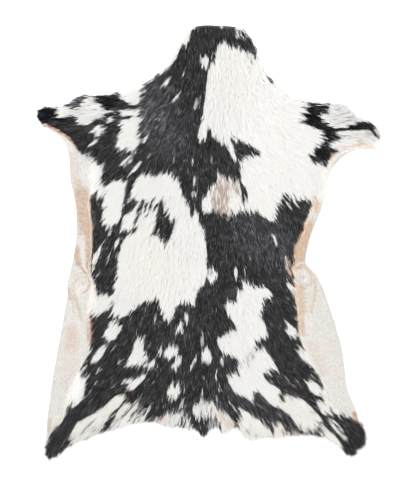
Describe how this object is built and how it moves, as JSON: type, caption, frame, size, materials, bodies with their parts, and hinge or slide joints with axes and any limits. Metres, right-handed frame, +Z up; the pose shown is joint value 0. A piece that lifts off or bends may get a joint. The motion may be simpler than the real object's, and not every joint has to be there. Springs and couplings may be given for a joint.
{
  "type": "goatskin rug",
  "caption": "Flat tanned goat hide rug in its natural shape, with patchy black and white hair and short pale hair on the flanks.",
  "frame": {"origin": "on the floor, under the middle of the hide's footprint", "axes": "+Y towards the neck, +X towards the right foreleg as seen from above with the neck up, +Z up out of the hair"},
  "size_m": [0.7122, 0.9014, 0.0106],
  "materials": {
    "hide": "tanned skin, matt suede on the flesh side, very short pale hair on the flanks",
    "hair": "long glossy goat hair, charcoal black with white and cream patches, lying down from the neck to the tail"
  },
  "bodies": {
    "root": {"hide": "hide"}
  },
  "joints": []
}
